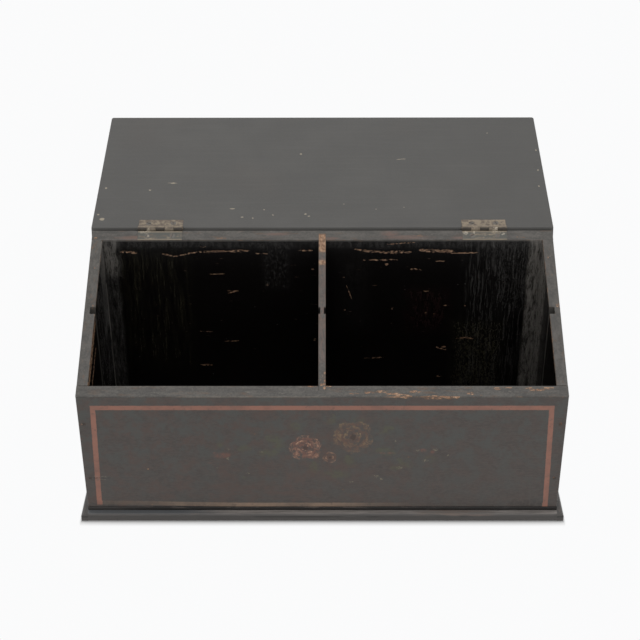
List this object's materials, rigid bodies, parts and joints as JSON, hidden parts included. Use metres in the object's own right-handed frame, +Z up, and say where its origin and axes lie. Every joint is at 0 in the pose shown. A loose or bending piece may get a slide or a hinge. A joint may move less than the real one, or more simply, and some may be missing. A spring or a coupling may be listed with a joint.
{
  "type": "slant-lid box",
  "caption": "Wooden table box with sloping top, full-width lid hinged at the back and laid open on its stop, centre divider, base strips.",
  "frame": {"origin": "middle of the walls' footprint, at the underside of the bottom board", "axes": "+X to the right along the box's width, -Y is the front, +Z is up"},
  "size_m": [0.4112, 0.3182, 0.2297],
  "materials": {
    "painted_body": "worn black paint",
    "painted_front": "worn black paint with a red border and faded roses",
    "painted_inside": "glossy black paint, scuffed to the wood",
    "painted_strip": "worn black paint",
    "painted_lid": "satin black paint",
    "hinge_brass": "tarnished",
    "hinge_painted": "tarnished and smeared with paint",
    "screw_steel": "dull",
    "nail_iron": "rusted"
  },
  "bodies": {
    "box": {"front_board": "painted_front", "back_board": "painted_body", "left_side": "painted_body", "right_side": "painted_body", "divider": "painted_inside", "bottom_board": "painted_inside", "base_strip_front": "painted_strip", "base_strip_left": "painted_strip", "base_strip_right": "painted_strip", "hinge_left_box_leaf": "hinge_painted", "hinge_left_pin": "hinge_brass", "hinge_left_box_screws": "screw_steel", "hinge_right_box_leaf": "hinge_painted", "hinge_right_pin": "hinge_brass", "hinge_right_box_screws": "screw_steel", "front_nails": "nail_iron", "back_nails": "nail_iron", "bottom_nails": "nail_iron", "strip_nails": "nail_iron"},
    "lid": {"lid_panel": "painted_lid", "hinge_left_lid_leaf": "hinge_brass", "hinge_left_lid_screws": "screw_steel", "hinge_right_lid_leaf": "hinge_brass", "hinge_right_lid_screws": "screw_steel"}
  },
  "joints": [
    {"name": "lid_hinge", "type": "hinge", "parent": "box", "child": "lid", "pos_m": [0, 0.07533, 0.19896], "axis": [1, 0, 0], "range_deg": [0, 195.3]}
  ]
}
